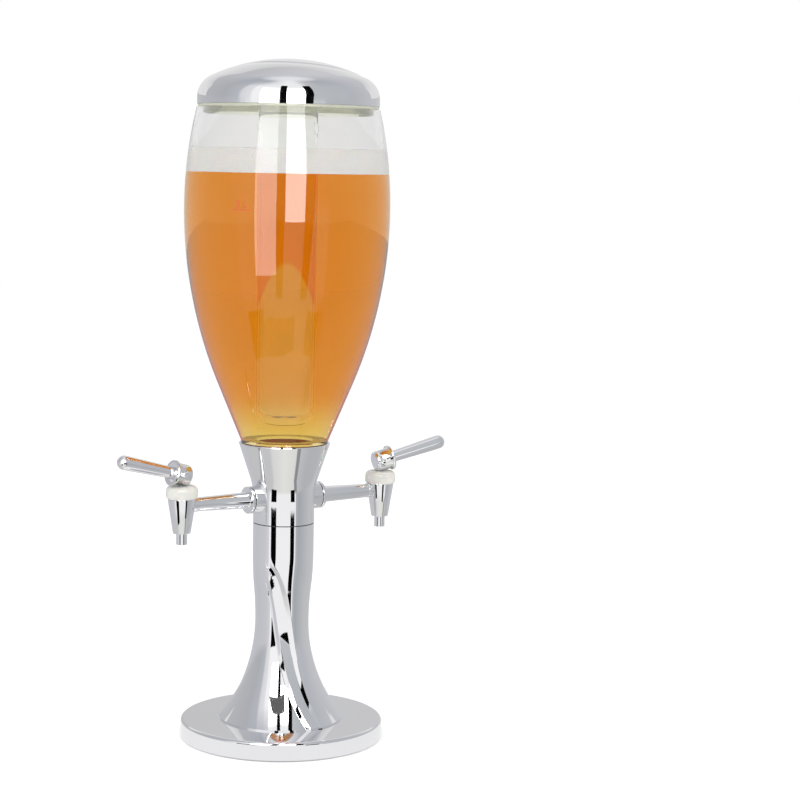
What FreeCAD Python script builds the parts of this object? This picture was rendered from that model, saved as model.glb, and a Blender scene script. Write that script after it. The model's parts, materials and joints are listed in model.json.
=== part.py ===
# Table-top beer tower: round base, twisted column, head with two taps, tall tank with lid and ice tube.
# Millimetres. The tower's axis is Z, the table is z = 0, and the two taps reach out along X.

import FreeCAD
import Part
import math
import os

Vector = FreeCAD.Vector
origin = Vector(0, 0, 0)
upward = Vector(0, 0, 1)

# Clearances
running_gap = 0.05          # shaft in its hole, on the radius
press_gap = 0.02            # pressed or screwed pieces, on the radius
rest_gap = 0.3              # loose piece above its seat
fit_gap = 0.3               # shell inside shell, on the radius

# Base
base_radius = 87.5
base_height = 16.5          # table to the top of the disc
base_edge = 2.6             # rounding round the top of the disc
base_wall = 2.6
base_lift = 1.2             # shadow gap between the disc's rim and the table
base_plate_thickness = 2.0
foot_ring_inset = 6.6       # from the edge of the bottom plate
foot_ring_width = 14.0
foot_ring_groove = 0.5
weight_thickness = 7.5
weight_rim_gap = 2.9        # weight to the inside of the disc
weight_bore = 14.0          # pocket for the lower nut
weight_pocket_depth = 4.0
base_screw_circle = 50.0
base_screw_count = 4
base_screw_radius = 1.7
base_screw_head = 3.4
base_screw_bite = 5.0       # how deep the screws go into the weight
base_post_radius = 6.0

# Column
column_height = 171.7
foot_radius = 53.0
foot_lip = 1.2              # upright edge of the flared foot
waist_radius = 22.8
waist_height = 85.5
neck_radius = 26.3
neck_height = 146.0         # where the column becomes straight
column_wall = 3.0
column_top = 4.0            # plate that closes the column
column_spigot_radius = 20.5
column_spigot_height = 3.0
column_boss_circle = 40.0
column_boss_count = 3
column_boss_radius = 4.2
column_boss_height = 20.0
column_screw_radius = 1.6
column_screw_head = 3.2
column_screw_head_height = 2.4
column_screw_bite = 9.0

# Twisted flutes on the column
flute_count = 3
flute_band_width = 3.8      # each flute is a pair of narrow channels side by side
flute_band_spacing = 12.0
flute_depth = 0.9
flute_lag = 16.0            # how much lower the second channel of a pair starts
flute_first_angle = -154.0  # about Z, where the first flute starts at the top
flute_top = 137.5
flute_bottom = -3.0         # runs out through the edge of the foot
flute_fade = 22.0           # height over which a flute sinks in at its top
flute_twist = 0.38          # degrees per millimetre of height
flute_hook = 15.0           # extra turn at the top, in degrees
flute_hook_length = 10.0
flute_steps = 10

# Tie rod that clamps base, column and head
rod_radius = 4.0
nut_flats = 13.0
nut_height = 5.0
washer_radius = 8.0
washer_thickness = 1.6
rod_overhang = 0.3

# Head
seam_thickness = 0.8        # dark ring between column and head
seam_recess = 0.5
head_height = 69.3
head_neck_radius = 26.4
head_corner = 29.9          # head bottom to where the neck's side would meet the cup's side
head_curve = 60.0
head_rim_radius = 39.2
head_rim_round = 0.9
head_wall = 2.2
head_floor = 4.0
boss_radius = 11.65
boss_reach = 33.0           # tower axis to the face of the boss

# Beer cup inside the head
cup_wall = 2.2
cup_floor = 2.0
cup_nut_room = 0.4
cup_waist_height = 33.0     # head bottom to where the cup widens
cup_socket_height = 49.0    # head bottom to the shoulder under the tank neck
cup_socket_depth = 14.0
cup_pad_radius = 8.5
cup_pad_face = 18.5         # tower axis to the flat where an arm nut seats
cup_skirt_inner = 17.0

# Arms
arm_rise = 21.0             # head bottom to the arm axis
arm_root_radius = 7.0
arm_tip_radius = 5.9
arm_shank_radius = 5.0
arm_bore = 3.0
arm_seal_thickness = 0.7
arm_collar_thickness = 2.8
arm_collar_taper = 2.0
arm_spigot_radius = 4.5
arm_spigot_length = 5.5
arm_nut_flats = 14.0
arm_nut_height = 4.0
arm_thread_overhang = 1.5

# Taps, heights from the arm axis
tap_reach = 98.5            # tower axis to the tap axis
tap_socket_radius = 6.25
tap_socket_reach = 14.5
tap_bottom = -23.5
tap_bottom_radius = 7.4
tap_shoulder = 6.3
tap_shoulder_radius = 12.1
tap_neck_radius = 10.4
tap_neck_top = 13.2
chamber_radius = 8.6
chamber_floor = -9.0
seat_hole = 3.2
spout_radius = 4.65
spout_bore = 3.2
spout_bottom = -33.0
spout_seat = -14.0
bonnet_radius = 13.4
bonnet_top = 17.0
bonnet_plate = 3.5
bonnet_shoulder = 3.0

# Valve stem, seat cup and spring
stem_radius = 2.6
stem_collar_radius = 6.4
stem_collar_thickness = 1.2
stem_eye_radius = 3.6
stem_eye_width = 5.0
cup_seal_radius = 6.6
cup_seal_height = 6.7
cup_seal_socket = 3.9
spring_radius = 5.0
spring_wire = 0.5
spring_turns = 4
spring_end_gap = 0.1

# Lever, from the pivot
pivot_rise = 26.0           # arm axis to the pivot
pivot_pin_radius = 1.25
pivot_pin_half = 7.0
lever_tilt = 14.5           # degrees above level, with the tap shut
lever_swing = 24.0          # degrees down to full flow
heel_reach = 10.0           # stem lift per radian of lever
knuckle_radius = 9.25
knuckle_inner = 6.4
knuckle_round = 3.5
knuckle_outer = 8.1
lever_disc_radius = 11.0
lever_disc_thickness = 2.5
knuckle_slot_gap = 0.25
knuckle_slot_inner = 4.1
knuckle_slot_outer = 6.4
lever_stud_radius = 2.6
lever_stud_length = 2.8
lever_root_radius = 4.9
lever_tip_radius = 6.0
lever_length = 53.2         # disc to the rounded tip
lever_turn_right = -9.0     # degrees about the tap's axis: each stem stands slightly turned in its bonnet
lever_turn_left = 5.0

# Tank
tank_neck_radius = 27.0
tank_neck_length = 18.3
tank_neck_wall = 3.0
tank_foot_radius = 36.9
tank_wall = 2.5
tank_floor = 3.0
tank_height = 284.7
tank_belly_radius = 87.6
tank_belly_height = 199.7
tank_belly_fullness = 0.79  # shape below the belly: 0.5 is a straight cone, 1 is one long arc
tank_mouth_radius = 77.6
neck_gasket_height = 2.0

# Lid
lid_gasket_thickness = 1.9
lid_gasket_outer = 76.6
lid_liner_radius = 76.2
lid_liner_plate = 2.0
lid_spigot_radius = 72.4
lid_spigot_wall = 2.0
lid_spigot_depth = 7.2
lid_collar_height = 3.8
lid_radius = 77.2
lid_crown_curve = 150.0
lid_shoulder_curve = 20.0
lid_height = 37.3
lid_wall = 2.2
socket_wall = 2.8
socket_roof = 1.8

# Ice tube
tube_length = 271.0
tube_top_radius = 25.1
tube_bottom_radius = 23.8
tube_wall = 1.75
tube_corner = 11.0
tube_neck_radius = 26.1
tube_neck_height = 9.0
tube_flange_radius = 28.0
tube_flange_thickness = 1.3
tube_seal_thickness = 1.6
tube_neck_gap = 0.4
lug_radius = 5.3
lug_width = 6.0
lug_reach = 28.4
lug_drop = 25.3             # top of the tube to the middle of the lugs

# Heights of the stack
base_ceiling = base_height - base_wall
weight_bottom = base_ceiling - weight_thickness
base_plate_top = base_lift + base_plate_thickness
base_plate_radius = base_radius - base_wall - fit_gap
foot_ring_outer = base_plate_radius - foot_ring_inset
foot_ring_inner = foot_ring_outer - foot_ring_width
column_bottom = base_height
column_end = column_bottom + column_height
head_bottom = column_end + seam_thickness
head_floor_top = head_bottom + head_floor
head_top = head_bottom + head_height
rod_bottom = weight_bottom + weight_pocket_depth - washer_thickness - nut_height - rod_overhang
rod_top = head_floor_top + washer_thickness + nut_height + rod_overhang
cup_bottom = rod_top + cup_nut_room
cup_inside = cup_bottom + cup_floor
cup_socket = head_bottom + cup_socket_height
arm_axis = head_bottom + arm_rise
tank_bottom = head_top
tank_top = tank_bottom + tank_height
lid_gasket_bottom = tank_top + rest_gap
lid_liner_bottom = lid_gasket_bottom + lid_gasket_thickness
lid_rim = lid_liner_bottom + lid_liner_plate
tube_seal_top = lid_liner_bottom - rest_gap
tube_seal_bottom = tube_seal_top - tube_seal_thickness
tube_flange_top = tube_seal_bottom - rest_gap
tube_top = tube_flange_top + tube_neck_height
tube_bottom = tube_top - tube_length
socket_radius = tube_neck_radius + tube_neck_gap
socket_ceiling = tube_top + 2 * rest_gap
pivot = Vector(tap_reach, 0, arm_axis + pivot_rise)


def point(radius, height):
    return Vector(radius, 0, height)


def trace(start, heading, moves, wall=0):
    # Outline that sets off from a (radius, height) point and joins straight lines and arcs smoothly.
    # The heading is in degrees from straight up, positive outwards. A move is (length,) for a line,
    # or (radius, turn) for an arc. A wall shifts the whole line in, square to itself.
    def ahead(angle):
        return point(math.sin(math.radians(angle)), math.cos(math.radians(angle)))

    def outwards(angle):
        return ahead(angle + 90)

    edges = []
    at = point(*start) - outwards(heading) * wall
    for move in moves:
        if len(move) == 1:
            end = at + ahead(heading) * move[0]
            edges.append(Part.LineSegment(at, end).toShape())
        else:
            radius, turn = move
            side = 1 if turn > 0 else -1
            centre = at + outwards(heading) * side * (radius + side * wall)
            middle = centre - outwards(heading + turn / 2) * side * (radius + side * wall)
            end = centre - outwards(heading + turn) * side * (radius + side * wall)
            edges.append(Part.Arc(at, middle, end).toShape())
            heading += turn
        at = end
    return edges


def bow_radius(across, along):
    # Radius of an arc that leaves one end straight up and drifts sideways by across over along
    return (across ** 2 + along ** 2) / (2 * across)


def arc(centre, radius, first, last):
    # Arc in the outline plane, angles in degrees from the outward direction
    ends = []
    for angle in (first, (first + last) / 2, last):
        turn = math.radians(angle)
        ends.append(point(centre[0] + radius * math.cos(turn), centre[1] + radius * math.sin(turn)))
    return Part.Arc(*ends).toShape()


def flat_list(items):
    flat = []
    for item in items:
        flat += item if isinstance(item, list) else [item]
    return flat


def closed_face(outline):
    # Flat face from corners and curves, in order, with straight lines between them
    edges = []
    ends = []
    for item in flat_list(outline):
        if isinstance(item, tuple):
            ends.append((point(*item), point(*item)))
            edges.append(None)
        else:
            ends.append((item.valueAt(item.FirstParameter), item.valueAt(item.LastParameter)))
            edges.append(item)
    loop = []
    for index, edge in enumerate(edges):
        if edge is not None:
            loop.append(edge)
        start = ends[index][1]
        end = ends[(index + 1) % len(ends)][0]
        if start.distanceToPoint(end) > 1e-6:
            loop.append(Part.LineSegment(start, end).toShape())
    return Part.Face(Part.Wire(loop))


def turned(outline):
    return closed_face(outline).revolve(origin, upward, 360)


def raised(shape, height):
    return shape.translated(Vector(0, 0, height))


def ring(inner, outer, bottom, top):
    return turned([(inner, bottom), (outer, bottom), (outer, top), (inner, top)])


def rod(radius, bottom, top, x=0, y=0):
    return Part.makeCylinder(radius, top - bottom, Vector(x, y, bottom))


def cross_rod(radius, start, end, height, direction):
    # Cylinder along X or Y between two places on that axis
    return Part.makeCylinder(radius, end - start, direction * start + Vector(0, 0, height), direction)


def laid_along_x(shape, height):
    # A shape turned about Z is laid down, so that its up becomes +X
    flat = shape.rotated(origin, Vector(0, 1, 0), 90)
    return raised(flat, height)


def hexagon(flats, hole, bottom, top):
    corner = flats / math.sqrt(3)
    turns = [math.radians(60 * k) for k in range(7)]
    corners = [Vector(corner * math.cos(turn), corner * math.sin(turn), bottom) for turn in turns]
    prism = Part.Face(Part.makePolygon(corners)).extrude(Vector(0, 0, top - bottom))
    return prism.cut(rod(hole, bottom - 1, top + 1))


def around(radius, count, first=0):
    # Places on a circle
    places = []
    for k in range(count):
        turn = math.radians(first + 360 * k / count)
        places.append((radius * math.cos(turn), radius * math.sin(turn)))
    return places


def cut_all(shape, tools):
    for tool in tools:
        shape = shape.cut(tool)
    return shape


def group(shapes):
    return Part.makeCompound(shapes)


# Base

base_screw_places = around(base_screw_circle, base_screw_count, 45)
column_screw_places = around(column_boss_circle, column_boss_count, 90)


def base_cover():
    outer = [(0, base_height),
             arc((base_radius - base_edge, base_height - base_edge), base_edge, 90, 0),
             (base_radius, base_lift), (base_radius - base_wall, base_lift)]
    shell = turned(outer + [(base_radius - base_wall, base_ceiling), (0, base_ceiling)])
    holes = [rod(rod_radius + fit_gap, 0, base_height + 1)]
    holes += [rod(column_screw_radius + fit_gap, 0, base_height + 1, x, y) for x, y in column_screw_places]
    return cut_all(shell, holes)


def base_weight():
    plate = rod(base_radius - base_wall - weight_rim_gap, weight_bottom, base_ceiling)
    tools = [rod(rod_radius + fit_gap, 0, base_height),
             rod(weight_bore, weight_bottom - 1, weight_bottom + weight_pocket_depth)]
    tools += [rod(column_screw_head + 1, 0, base_height, x, y) for x, y in column_screw_places]
    tools += [rod(base_screw_radius + press_gap, 0, weight_bottom + base_screw_bite + 0.5, x, y)
              for x, y in base_screw_places]
    return cut_all(plate, tools)


def screw_cone(x, y):
    # Countersunk head, flush with the plate
    depth = base_screw_head - base_screw_radius
    cone = Part.makeCone(base_screw_head, base_screw_radius, depth, Vector(x, y, base_lift))
    return cone


def base_plate():
    plate = rod(base_plate_radius, base_lift, base_plate_top)
    for x, y in base_screw_places:
        plate = plate.fuse(rod(base_post_radius, base_plate_top, weight_bottom, x, y))
    groove = ring(foot_ring_inner - press_gap, foot_ring_outer + press_gap, base_lift - 1,
                  base_lift + foot_ring_groove)
    plate = plate.cut(groove)
    for x, y in base_screw_places:
        plate = plate.cut(rod(base_screw_radius + press_gap, 0, base_height, x, y)).cut(screw_cone(x, y))
    return plate.removeSplitter()


def foot_ring():
    return ring(foot_ring_inner, foot_ring_outer, 0, base_lift + foot_ring_groove)


def base_screws():
    screws = []
    for x, y in base_screw_places:
        shank = rod(base_screw_radius, base_lift, weight_bottom + base_screw_bite, x, y)
        screws.append(shank.fuse(screw_cone(x, y)).removeSplitter())
    return group(screws)


# Column

flare_across = foot_radius - waist_radius
flare_along = waist_height - foot_lip
flare_curve = bow_radius(flare_across, flare_along)
flare_turn = 2 * math.degrees(math.atan(flare_across / flare_along))
neck_across = (neck_radius - waist_radius) / 2
neck_along = (neck_height - waist_height) / 2
neck_curve = bow_radius(neck_across, neck_along)
neck_turn = 2 * math.degrees(math.atan(neck_across / neck_along))


def column_side(wall=0):
    # Flared foot, waist and a long soft swelling to the straight neck
    return trace((foot_radius, foot_lip), -flare_turn,
                 [(flare_curve, flare_turn), (neck_curve, neck_turn), (neck_curve, -neck_turn)], wall)


def column_surface(height):
    # Place on the column's side at a height, and the way out of it
    curve = flare_curve if height < waist_height else neck_curve
    drop = height - waist_height
    inwards = math.sqrt(curve ** 2 - drop ** 2)
    return point(waist_radius + curve - inwards, height), point(inwards / curve, -drop / curve)


def flute(first_angle, shift, lag):
    # One channel: a round bar along a spiral, sunk into the column and lifted out at its top
    bar = (flute_band_width ** 2 / 4 + flute_depth ** 2) / (2 * flute_depth)
    path = []
    for step in range(flute_steps + 1):
        drop = lag + (flute_top - lag - flute_bottom) * step / flute_steps
        place, way_out = column_surface(flute_top - drop)
        lift = 2 * flute_depth * max(0, 1 - (drop - lag) / flute_fade)
        angle = flute_twist * drop + flute_hook * (1 - math.exp(-drop / flute_hook_length))
        turn = FreeCAD.Rotation(upward, first_angle + angle + math.degrees(shift / place.x))
        path.append(turn.multVec(place + way_out * (bar - flute_depth + lift)))
    spiral = Part.BSplineCurve()
    spiral.interpolate(path)
    section = Part.Wire(Part.makeCircle(bar, path[0], spiral.tangent(spiral.FirstParameter)[0]))
    return Part.Wire(spiral.toShape()).makePipeShell([section], True, False)


def column():
    outer = turned([(0, 0), (foot_radius, 0), column_side(), (neck_radius, column_height),
                    (0, column_height)])
    side = column_side(column_wall)
    inner_foot = side[0].valueAt(side[0].FirstParameter).x
    ceiling = column_height - column_top
    cavity = turned([(0, -column_wall), (inner_foot, -column_wall), side,
                     (neck_radius - column_wall, ceiling), (0, ceiling)])
    bosses = [rod(column_boss_radius, 0, column_boss_height, x, y) for x, y in column_screw_places]
    cavity = cut_all(cavity, bosses)
    flutes = []
    for k in range(flute_count):
        angle = flute_first_angle + 360 * k / flute_count
        flutes.append(flute(angle, flute_band_spacing / 2, 0))
        flutes.append(flute(angle, -flute_band_spacing / 2, flute_lag))
    shell = cut_all(outer, flutes + [cavity])
    shell = shell.fuse(rod(column_spigot_radius, column_height, column_height + column_spigot_height))
    pilot = column_screw_radius + press_gap
    pilots = [rod(pilot, -1, column_screw_bite + 1, x, y) for x, y in column_screw_places]
    shell = cut_all(shell, pilots + [rod(rod_radius + fit_gap, 0, column_height + column_spigot_height + 1)])
    return raised(shell, column_bottom)


def column_screws():
    screws = []
    for x, y in column_screw_places:
        head = rod(column_screw_head, base_ceiling - column_screw_head_height, base_ceiling, x, y)
        shank = rod(column_screw_radius, base_ceiling, column_bottom + column_screw_bite, x, y)
        screws.append(head.fuse(shank))
    return group(screws)


def tie_rod():
    return rod(rod_radius, rod_bottom, rod_top)


def tie_rod_washers():
    low = weight_bottom + weight_pocket_depth
    inner = rod_radius + fit_gap
    return group([ring(inner, washer_radius, low - washer_thickness, low),
                  ring(inner, washer_radius, head_floor_top, head_floor_top + washer_thickness)])


def tie_rod_nuts():
    low = weight_bottom + weight_pocket_depth - washer_thickness
    high = head_floor_top + washer_thickness
    hole = rod_radius + press_gap
    return group([hexagon(nut_flats, hole, low - nut_height, low),
                  hexagon(nut_flats, hole, high, high + nut_height)])


def seam_ring():
    return ring(column_spigot_radius + fit_gap, neck_radius - seam_recess, column_end, head_bottom)


# Head

def head_side(wall=0):
    # Straight neck, a soft bend and the cone up to the rim
    cone_height = head_height - head_rim_round - head_corner
    lean = math.atan2(head_rim_radius - head_neck_radius, cone_height)
    bend = head_curve * math.tan(lean / 2)
    cone = math.hypot(head_rim_radius - head_neck_radius, cone_height)
    moves = [(head_curve, math.degrees(lean)), (cone - bend,)]
    return trace((head_neck_radius, head_corner - bend), 0, moves, wall)


def head():
    rim_inner = head_rim_radius - head_wall
    outer = turned([(0, 0), (head_neck_radius, 0), head_side(),
                    (head_rim_radius - head_rim_round, head_height), (0, head_height)])
    cavity = turned([(0, head_floor), (head_neck_radius - head_wall, head_floor), head_side(head_wall),
                     (rim_inner, head_height + 1), (0, head_height + 1)])
    boss = cross_rod(boss_radius, -boss_reach, boss_reach, arm_rise, Vector(1, 0, 0))
    bore = cross_rod(arm_shank_radius + fit_gap, -boss_reach - 1, boss_reach + 1, arm_rise, Vector(1, 0, 0))
    recess = rod(column_spigot_radius + fit_gap, -1, column_spigot_height - seam_thickness + fit_gap)
    tools = [cavity, bore, recess, rod(rod_radius + fit_gap, -1, head_floor + 1)]
    return raised(cut_all(outer.fuse(boss), tools), head_bottom)


def beer_cup():
    low = cup_bottom - head_bottom
    floor = cup_inside - head_bottom
    outer = head_neck_radius - head_wall - 2 * fit_gap
    inner = outer - cup_wall
    socket = tank_neck_radius + fit_gap
    brim = cup_socket_height + cup_socket_depth
    body = turned([(cup_skirt_inner, head_floor), (outer - cup_wall, head_floor), (outer - cup_wall, low),
                   (outer, low), (outer, cup_waist_height), (socket + cup_wall, cup_socket_height),
                   (socket + cup_wall, brim), (socket, brim), (socket, cup_socket_height),
                   (tank_neck_radius - tank_neck_wall, cup_socket_height), (inner, cup_waist_height),
                   (inner, floor), (0, floor), (0, low), (cup_skirt_inner, low)])
    pads = cross_rod(cup_pad_radius, -outer - 1, outer + 1, arm_rise, Vector(1, 0, 0))
    pads = pads.common(ring(inner - 0.5, outer, floor, cup_waist_height))
    flats = Part.makeBox(2 * outer, 2 * outer, 2 * cup_pad_radius,
                         Vector(-outer, -outer, arm_rise - cup_pad_radius))
    flats = flats.cut(Part.makeBox(2 * cup_pad_face, 2 * outer, 2 * cup_pad_radius,
                                   Vector(-cup_pad_face, -outer, arm_rise - cup_pad_radius)))
    block = cross_rod(cup_pad_radius, -outer, outer, arm_rise, Vector(1, 0, 0)).common(flats)
    block = block.common(rod(outer, floor, cup_waist_height))
    bore = cross_rod(arm_shank_radius + running_gap, -outer - 1, outer + 1, arm_rise, Vector(1, 0, 0))
    return raised(body.fuse(pads).fuse(block).removeSplitter().cut(bore), head_bottom)


def neck_gasket():
    inner = tank_neck_radius - tank_neck_wall
    return ring(inner, tank_neck_radius, cup_socket, cup_socket + neck_gasket_height)


# Arms and taps, made for the right-hand side

def arm():
    collar = boss_reach + arm_seal_thickness
    shank_end = cup_pad_face - arm_nut_height - arm_thread_overhang
    taper = collar + arm_collar_thickness
    tap_face = tap_reach - tap_socket_reach
    tip = tap_face + arm_spigot_length
    tube = turned([(arm_bore, shank_end), (arm_shank_radius, shank_end), (arm_shank_radius, collar),
                   (boss_radius, collar), (boss_radius, taper - 0.8), (boss_radius - 0.8, taper),
                   (arm_root_radius + 0.6, taper), (arm_root_radius, taper + arm_collar_taper),
                   (arm_tip_radius, tap_face), (arm_spigot_radius, tap_face),
                   (arm_spigot_radius, tip), (arm_bore, tip)])
    return laid_along_x(tube, arm_axis)


def arm_seal():
    washer = ring(arm_shank_radius + fit_gap, boss_radius - 0.8, boss_reach, boss_reach + arm_seal_thickness)
    return laid_along_x(washer, arm_axis)


def arm_nut():
    nut = hexagon(arm_nut_flats, arm_shank_radius + press_gap, cup_pad_face - arm_nut_height, cup_pad_face)
    nut = nut.rotated(origin, upward, 90)
    return laid_along_x(nut, arm_axis)


def at_tap(shape):
    return shape.translated(Vector(tap_reach, 0, arm_axis))


def tap_body():
    outer = turned([(0, tap_bottom), (tap_bottom_radius, tap_bottom), (tap_shoulder_radius, tap_shoulder),
                    (tap_neck_radius, tap_shoulder), (tap_neck_radius, tap_neck_top), (0, tap_neck_top)])
    x_axis = Vector(1, 0, 0)
    socket = cross_rod(tap_socket_radius, -tap_socket_reach, -chamber_radius, 0, x_axis)
    inside = turned([(0, tap_bottom - 1), (spout_radius + press_gap, tap_bottom - 1),
                     (spout_radius + press_gap, spout_seat), (seat_hole, spout_seat),
                     (seat_hole, chamber_floor), (chamber_radius, chamber_floor),
                     (chamber_radius, tap_neck_top + 1), (0, tap_neck_top + 1)])
    inlet = cross_rod(arm_bore, -tap_socket_reach - 1, 0, 0, x_axis)
    bore = cross_rod(arm_spigot_radius + press_gap, -tap_socket_reach - 1,
                     -tap_socket_reach + arm_spigot_length, 0, x_axis)
    return at_tap(cut_all(outer.fuse(socket), [inside, inlet, bore]))


def tap_spout():
    return at_tap(ring(spout_bore, spout_radius, spout_bottom, spout_seat))


def tap_bonnet():
    inside_top = bonnet_top - bonnet_plate
    thread = tap_neck_radius + press_gap
    shoulder = arc((bonnet_radius - bonnet_shoulder, bonnet_top - bonnet_shoulder), bonnet_shoulder, 0, 90)
    hole = stem_radius + running_gap
    return at_tap(turned([(thread, tap_shoulder), (bonnet_radius, tap_shoulder), shoulder, (hole, bonnet_top),
                          (hole, inside_top), (thread, inside_top)]))


def valve_stem():
    collar = chamber_floor + rest_gap + cup_seal_height
    foot = collar - cup_seal_socket
    shaft = turned([(0, foot), (stem_radius, foot), (stem_radius, collar), (stem_collar_radius, collar),
                    (stem_collar_radius, collar + stem_collar_thickness),
                    (stem_radius, collar + stem_collar_thickness), (stem_radius, pivot_rise),
                    (0, pivot_rise)])
    y_axis = Vector(0, 1, 0)
    eye = cross_rod(stem_eye_radius, -stem_eye_width / 2, stem_eye_width / 2, pivot_rise, y_axis)
    sides = Part.makeBox(4 * stem_eye_radius, stem_eye_width, pivot_rise,
                         Vector(-2 * stem_eye_radius, -stem_eye_width / 2, bonnet_top + rest_gap))
    shaft_low = shaft.common(rod(stem_collar_radius, foot, bonnet_top + rest_gap))
    shaft_high = shaft.common(sides)
    hole = cross_rod(pivot_pin_radius + running_gap, -stem_eye_width, stem_eye_width, pivot_rise, y_axis)
    return at_tap(shaft_low.fuse(shaft_high).fuse(eye).removeSplitter().cut(hole))


def seat_cup():
    bottom = chamber_floor + rest_gap
    top = bottom + cup_seal_height
    socket = top - cup_seal_socket
    return at_tap(turned([(0, bottom), (cup_seal_radius - 1.6, bottom), (cup_seal_radius, bottom + 1.6),
                          (cup_seal_radius, top), (stem_radius + press_gap, top),
                          (stem_radius + press_gap, socket - press_gap), (0, socket - press_gap)]))


def valve_spring():
    # Coil of six-sided wire between the stem's collar and the underside of the bonnet
    room = spring_wire + spring_end_gap
    bottom = chamber_floor + rest_gap + cup_seal_height + stem_collar_thickness + room
    length = bonnet_top - bonnet_plate - room - bottom
    coil = Part.makeHelix(length / spring_turns, length, spring_radius)
    start = coil.Edges[0].valueAt(coil.Edges[0].FirstParameter)
    outwards = Vector(1, 0, 0)
    across = coil.Edges[0].tangentAt(coil.Edges[0].FirstParameter).cross(outwards)
    corners = []
    for k in range(7):
        turn = math.radians(60 * k)
        offset = outwards * math.cos(turn) + across * math.sin(turn)
        corners.append(start + offset * spring_wire)
    print("valve spring: least gap between turns %.2f mm" % (length / spring_turns - 2 * spring_wire))
    wire = Part.Wire(coil).makePipeShell([Part.makePolygon(corners)], True, True)
    return at_tap(raised(wire, bottom))


def tilted(shape):
    # From the lever's own axis, made along Z, to the lever shut and tilted at its pivot
    return laid_along_x(shape, 0).rotated(origin, Vector(0, 1, 0), -lever_tilt).translated(pivot)


def heel_tool():
    # Everything under the lever's heel: flat at rest, then an arc on which it rolls as it opens
    height = pivot_rise - bonnet_top - rest_gap
    turn = math.radians(lever_swing)
    rise = heel_reach * (1 - math.cos(turn)) / math.sin(turn)
    radius = height + rise
    end = arc((heel_reach, rise), radius, -90, -45)
    last = end.valueAt(end.LastParameter)
    far = 3 * lever_disc_radius
    face = closed_face([(-far, -height), end, (last.x + far, last.z + far), (last.x + far, -far),
                        (-far, -far)])
    face.translate(Vector(0, -far, 0))
    return face.extrude(Vector(0, 2 * far, 0)).translated(pivot)


def lever_head():
    disc_end = knuckle_outer + lever_disc_thickness
    round_centre = (knuckle_radius - knuckle_round, knuckle_round - knuckle_inner)
    stud_hole = lever_stud_radius + press_gap
    stud_end = disc_end - lever_stud_length
    body = turned([(0, -knuckle_inner), arc(round_centre, knuckle_round, -90, 0),
                   (knuckle_radius, knuckle_outer), (lever_disc_radius, knuckle_outer),
                   (lever_disc_radius, disc_end - 0.6), (lever_disc_radius - 0.6, disc_end),
                   (stud_hole, disc_end), (stud_hole, stud_end), (0, stud_end)])
    slot_half = stem_eye_width / 2 + knuckle_slot_gap
    slot = Part.makeBox(knuckle_slot_inner + knuckle_slot_outer, 2 * slot_half, 3 * knuckle_radius,
                        Vector(-knuckle_slot_inner, -slot_half, knuckle_slot_inner - 3 * knuckle_radius))
    hole = Part.makeCylinder(pivot_pin_radius + press_gap, pivot_pin_half + 2 * knuckle_radius,
                             Vector(0, -pivot_pin_half - rest_gap, 0), Vector(0, 1, 0))
    return cut_all(tilted(body), [slot.translated(pivot), hole.translated(pivot), heel_tool()])


def lever_rod():
    start = knuckle_outer + lever_disc_thickness
    end = start + lever_length
    ball = end - lever_tip_radius
    stud_end = start - lever_stud_length + 0.1
    return tilted(turned([(0, stud_end), (lever_stud_radius, stud_end),
                          (lever_stud_radius, start), (lever_root_radius, start),
                          (lever_tip_radius, ball - lever_tip_radius),
                          arc((0, ball), lever_tip_radius, 0, 90)]))


def pivot_pin():
    start = Vector(0, -pivot_pin_half, 0)
    return Part.makeCylinder(pivot_pin_radius, 2 * pivot_pin_half, start, Vector(0, 1, 0)).translated(pivot)


# Tank

def tank_side(wall=0):
    # Cone above the foot, the long curve to the belly and the curve in to the mouth
    swell = tank_belly_radius - tank_foot_radius
    lean = 2 * tank_belly_fullness * math.atan(swell / tank_belly_height)
    sagitta = 1 - math.cos(lean)
    lower_curve = (tank_belly_height * math.sin(lean) - swell * math.cos(lean)) / sagitta
    cone = (swell * math.sin(lean) - tank_belly_height * sagitta) / sagitta
    across = tank_belly_radius - tank_mouth_radius
    along = tank_height - tank_belly_height
    upper_curve = bow_radius(across, along)
    upper_turn = 2 * math.degrees(math.atan(across / along))
    moves = [(cone,), (lower_curve, -math.degrees(lean)), (upper_curve, -upper_turn)]
    return trace((tank_foot_radius, 0), math.degrees(lean), moves, wall)


def tank():
    inner_neck = tank_neck_radius - tank_neck_wall
    outer = turned([(0, -tank_neck_length), (tank_neck_radius, -tank_neck_length), (tank_neck_radius, 0),
                    tank_side(), (0, tank_height)])
    side = tank_side(tank_wall)
    start = side[0].valueAt(side[0].FirstParameter)
    end = side[-1].valueAt(side[-1].LastParameter)
    cavity = turned([(0, start.z), side, (end.x, tank_height + 1), (0, tank_height + 1)])
    cavity = cavity.cut(rod(tank_foot_radius, start.z - 1, tank_floor))
    shell = outer.cut(cavity).cut(rod(inner_neck, -tank_neck_length - 1, tank_floor + 1))
    return raised(shell, tank_bottom)


# Lid and ice tube

def lid_gasket():
    return ring(lid_spigot_radius + press_gap, lid_gasket_outer, lid_gasket_bottom, lid_liner_bottom)


def lid_liner():
    plate = ring(socket_radius, lid_liner_radius, lid_liner_bottom, lid_rim)
    spigot = ring(lid_spigot_radius - lid_spigot_wall, lid_spigot_radius,
                  lid_liner_bottom - lid_spigot_depth, lid_liner_bottom)
    collar_outer = lid_radius - lid_wall - fit_gap
    collar = ring(collar_outer - lid_wall, collar_outer, lid_rim, lid_rim + lid_collar_height)
    outside = socket_radius + socket_wall
    top = socket_ceiling + socket_roof
    socket = turned([(socket_radius, lid_liner_bottom), (outside, lid_liner_bottom), (outside, top), (0, top),
                     (0, socket_ceiling), (socket_radius, socket_ceiling)])
    return plate.multiFuse([spigot, collar, socket]).removeSplitter()


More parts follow.
